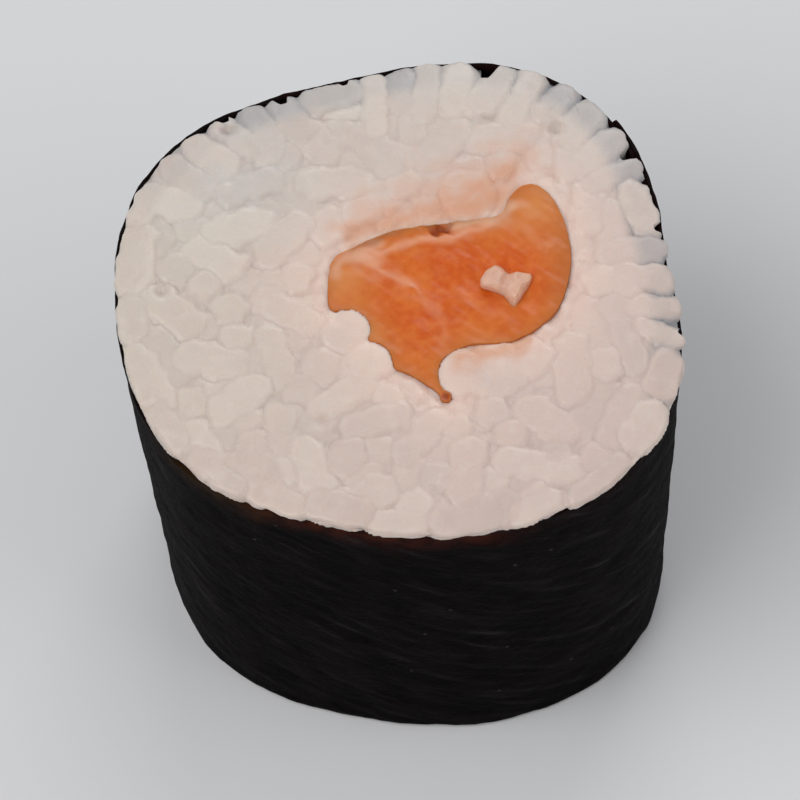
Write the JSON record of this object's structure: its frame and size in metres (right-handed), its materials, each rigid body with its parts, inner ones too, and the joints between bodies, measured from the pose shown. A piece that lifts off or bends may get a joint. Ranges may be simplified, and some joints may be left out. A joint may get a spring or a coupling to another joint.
{
  "type": "salmon maki roll",
  "caption": "Cut piece of a thin sushi roll standing on its cut end: salmon through pressed rice, wrapped in a lapped nori sheet.",
  "frame": {"origin": "centre of the footprint on the surface that the piece stands on, at its lower cut end", "axes": "+Z along the roll's axis, up out of the cut face; +X to the piece's right along its longer width; -Y is the front"},
  "size_m": [0.0325, 0.0307, 0.0286],
  "materials": {
    "nori": "moist dried seaweed, near black with a brown cast at the cut edge, faint satin glints on its fine wrinkles",
    "rice": "moist pressed white rice, milky and a little translucent, faint grain outlines, pink tint beside the fish",
    "salmon": "raw salmon, moist and translucent orange with thin pale lines of fat, darker at its edges"
  },
  "bodies": {
    "root": {"nori": "nori", "rice": "rice", "salmon": "salmon"}
  },
  "joints": []
}
